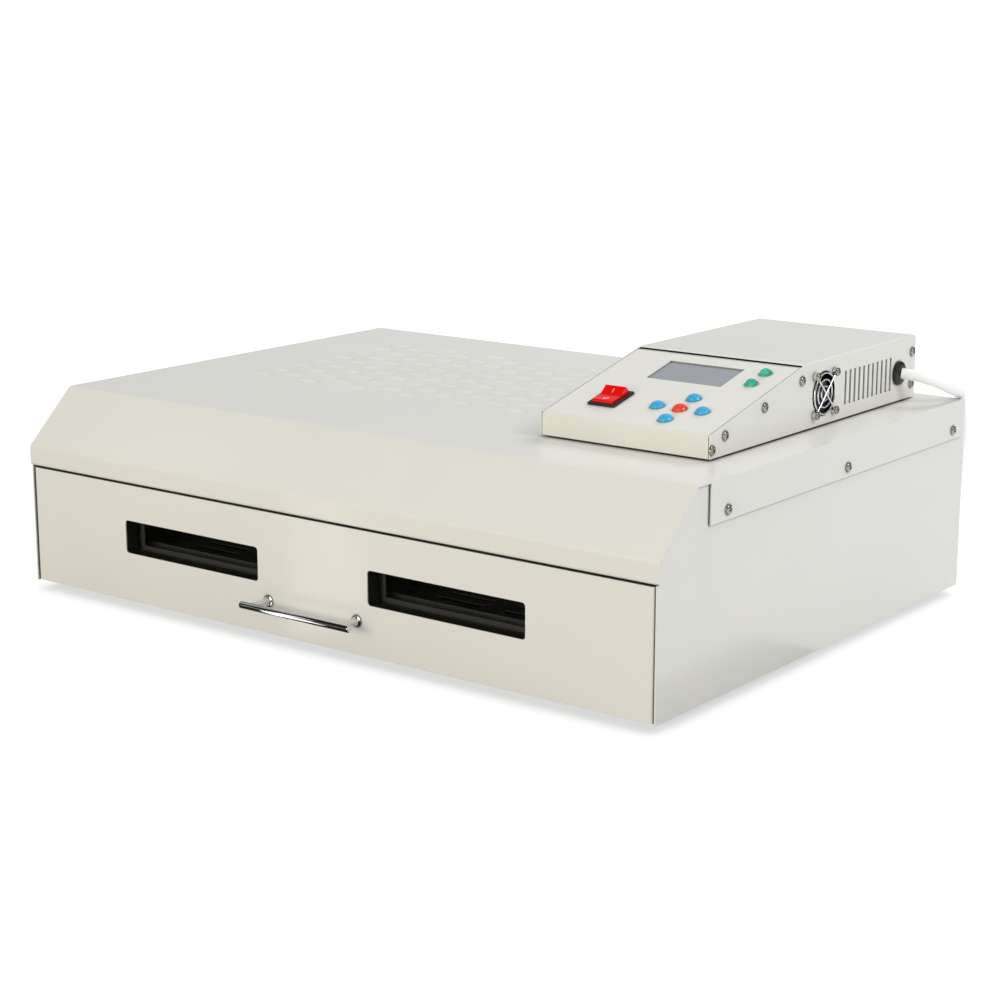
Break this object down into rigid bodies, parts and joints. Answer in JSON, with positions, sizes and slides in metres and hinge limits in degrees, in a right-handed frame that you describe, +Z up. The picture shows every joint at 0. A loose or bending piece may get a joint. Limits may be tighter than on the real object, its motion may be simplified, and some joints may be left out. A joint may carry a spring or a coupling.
{
  "type": "infrared reflow oven",
  "caption": "Flat benchtop reflow oven: a pull-out drawer with windows and a bar handle under a louvred steel hood, and a sloped control box with display, keys and rocker on its roof.",
  "frame": {"origin": "on the bench, under the middle of the oven without its cord", "axes": "+X to the right as the drawer is faced, +Y from the drawer's face to the rear panel, +Z up"},
  "size_m": [0.6753, 0.6706, 0.2335],
  "materials": {
    "ivory_paint": "satin powder coat",
    "zinc_steel": "zinc-plated sheet",
    "bright_steel": "bright stainless",
    "mirror_aluminium": "polished",
    "black_paint": "matt",
    "chrome": "polished",
    "black_rubber": "matt",
    "black_plastic": "matt",
    "ceramic": "matt",
    "quartz": "milky",
    "wool": "fibrous",
    "oven_glass": "clear, dark",
    "display_glass": "clear",
    "display": "satin",
    "circuit_board": "satin",
    "parts_plastic": "matt",
    "heat_sink": "anodised",
    "blue_plastic": "gloss",
    "red_plastic": "gloss",
    "switch_red": "gloss, translucent",
    "lamp_green": "gloss, translucent",
    "white_pvc": "satin",
    "nickel_brass": "nickel-plated"
  },
  "bodies": {
    "cabinet": {"base_pan": "zinc_steel", "side_panel_left": "ivory_paint", "side_panel_right": "ivory_paint", "hood": "ivory_paint", "rear_panel": "ivory_paint", "feet": "black_rubber", "liner_left": "zinc_steel", "liner_right": "zinc_steel", "liner_rear": "zinc_steel", "reflector": "mirror_aluminium", "insulation": "wool", "ir_tubes": "quartz", "tube_holders": "ceramic", "thermocouples": "bright_steel", "slide_outer": "zinc_steel", "exhaust_fan_frame": "black_plastic", "exhaust_guard": "chrome", "hood_screws": "chrome", "rear_screws": "chrome", "box_cover": "ivory_paint", "box_panel": "ivory_paint", "box_base": "ivory_paint", "box_spacers": "zinc_steel", "box_screws": "chrome", "lcd_window": "display_glass", "lcd_module": "display", "key_board": "circuit_board", "pilot_lamps": "lamp_green", "rocker_body": "black_plastic", "fan_frame": "black_plastic", "fan_guard": "chrome", "strain_relief": "black_rubber", "main_board": "circuit_board", "board_parts": "parts_plastic", "power_relays": "heat_sink", "cord": "white_pvc", "cord_coil": "white_pvc", "cord_plug": "white_pvc", "plug_pins": "nickel_brass"},
    "drawer": {"drawer_front": "ivory_paint", "drawer_inner": "zinc_steel", "window_frames": "black_paint", "window_glass": "oven_glass", "handle": "chrome", "handle_screws": "chrome", "tray": "bright_steel", "drawer_rails": "zinc_steel", "drawer_back_rail": "zinc_steel", "slide_inner": "zinc_steel"},
    "slide_middle": {"slide_middle": "zinc_steel"},
    "outer_cage": {"outer_cage": "bright_steel"},
    "inner_cage": {"inner_cage": "bright_steel"},
    "rocker": {"rocker_paddle": "switch_red"},
    "key_left": {"button_left": "blue_plastic"},
    "key_right": {"button_right": "blue_plastic"},
    "key_up": {"button_up": "blue_plastic"},
    "key_down": {"button_down": "blue_plastic"},
    "key_centre": {"button_centre": "red_plastic"},
    "fan_rotor": {"fan_rotor": "black_plastic"},
    "exhaust_rotor": {"exhaust_rotor": "black_plastic"}
  },
  "joints": [
    {"name": "drawer_slide", "type": "slide", "parent": "cabinet", "child": "drawer", "axis": [0, -1, 0], "range_m": [0, 0.38]},
    {"name": "middle_slide", "type": "slide", "parent": "cabinet", "child": "slide_middle", "axis": [0, -1, 0], "range_m": [0, 0.19]},
    {"name": "outer_cage_slide", "type": "slide", "parent": "cabinet", "child": "outer_cage", "axis": [0, -1, 0], "range_m": [0, 0.095]},
    {"name": "inner_cage_slide", "type": "slide", "parent": "cabinet", "child": "inner_cage", "axis": [0, -1, 0], "range_m": [0, 0.285]},
    {"name": "rocker_tilt", "type": "hinge", "parent": "cabinet", "child": "rocker", "pos_m": [0.1785, -0.06979, 0.20639], "axis": [1, 0, 0], "range_deg": [-22, 0]},
    {"name": "key_left_press", "type": "slide", "parent": "cabinet", "child": "key_left", "axis": [0, 0.237, -0.9715], "range_m": [0, 0.001], "stiffness_N_per_m": 300},
    {"name": "key_right_press", "type": "slide", "parent": "cabinet", "child": "key_right", "axis": [0, 0.237, -0.9715], "range_m": [0, 0.001], "stiffness_N_per_m": 300},
    {"name": "key_up_press", "type": "slide", "parent": "cabinet", "child": "key_up", "axis": [0, 0.237, -0.9715], "range_m": [0, 0.001], "stiffness_N_per_m": 300},
    {"name": "key_down_press", "type": "slide", "parent": "cabinet", "child": "key_down", "axis": [0, 0.237, -0.9715], "range_m": [0, 0.001], "stiffness_N_per_m": 300},
    {"name": "key_centre_press", "type": "slide", "parent": "cabinet", "child": "key_centre", "axis": [0, 0.237, -0.9715], "range_m": [0, 0.001], "stiffness_N_per_m": 300},
    {"name": "fan_spin", "type": "hinge", "parent": "cabinet", "child": "fan_rotor", "pos_m": [0.2853, 0.0656, 0.2053], "axis": [1, 0, 0], "continuous": true},
    {"name": "exhaust_spin", "type": "hinge", "parent": "cabinet", "child": "exhaust_rotor", "pos_m": [0, 0.2404, 0.092], "axis": [0, 1, 0], "continuous": true}
  ],
  "couplings": [
    {"joint": "middle_slide", "follows": "drawer_slide", "ratio": 0.5},
    {"joint": "outer_cage_slide", "follows": "drawer_slide", "ratio": 0.25},
    {"joint": "inner_cage_slide", "follows": "drawer_slide", "ratio": 0.75}
  ]
}
